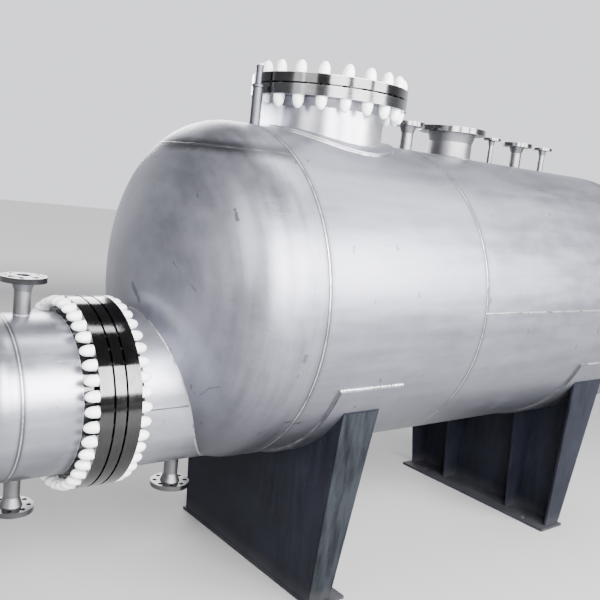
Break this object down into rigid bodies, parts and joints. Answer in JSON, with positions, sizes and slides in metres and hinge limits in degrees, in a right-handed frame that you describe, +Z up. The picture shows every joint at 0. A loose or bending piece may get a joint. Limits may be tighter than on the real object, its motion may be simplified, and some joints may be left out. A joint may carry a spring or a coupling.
{
  "type": "molten salt heat exchanger",
  "caption": "Horizontal kettle shell on two saddles with an off-centre bolted bundle neck and channel, a bolted manway on the crown and a row of flanged nozzles.",
  "frame": {"origin": "centre of the underside of the front saddle's base plate, on the floor under the shell axis", "axes": "+X along the shell from the channel end to the rear head, +Y away from the side that the picture shows, +Z up along the crown nozzles"},
  "size_m": [3.8912, 1.3998, 2.214],
  "materials": {
    "pickled_steel": "pickled stainless steel plate, satin, lightly mottled",
    "machined_steel": "machined stainless steel, bright and streaky",
    "gasket_black": "dark graphite-faced gasket edge",
    "davit_grey": "plain grey steel, dull",
    "saddle_black": "blue-black primer on carbon steel, half matt",
    "saddle_slate": "slate blue primer, brushed on"
  },
  "bodies": {
    "root": {"front_head": "pickled_steel", "front_shell_course": "pickled_steel", "rear_shell_course": "pickled_steel", "rear_head": "pickled_steel", "bundle_neck": "pickled_steel", "neck_flange": "machined_steel", "neck_gasket": "gasket_black", "tube_sheet": "machined_steel", "channel_gasket": "gasket_black", "channel_flange": "machined_steel", "channel_barrel": "pickled_steel", "channel_head": "pickled_steel", "channel_top_nozzle": "machined_steel", "channel_bottom_nozzle": "machined_steel", "neck_drain_nozzle": "machined_steel", "manway_pad": "pickled_steel", "manway_neck": "pickled_steel", "manway_gasket": "gasket_black", "manway_cover": "machined_steel", "davit_sleeve": "davit_grey", "davit_post": "davit_grey", "davit_gusset": "davit_grey", "gauge_nozzle": "machined_steel", "vapour_nozzle": "machined_steel", "vent_nozzle": "machined_steel", "inlet_nozzle": "machined_steel", "probe_nozzle": "machined_steel", "front_saddle_wear_plate": "pickled_steel", "front_saddle_web": "saddle_black", "front_saddle_end_plates": "saddle_slate", "front_saddle_ribs": "saddle_black", "front_saddle_base": "saddle_black", "rear_saddle_wear_plate": "pickled_steel", "rear_saddle_web": "saddle_black", "rear_saddle_end_plates": "saddle_slate", "rear_saddle_ribs": "saddle_black", "rear_saddle_base": "saddle_black"}
  },
  "joints": []
}
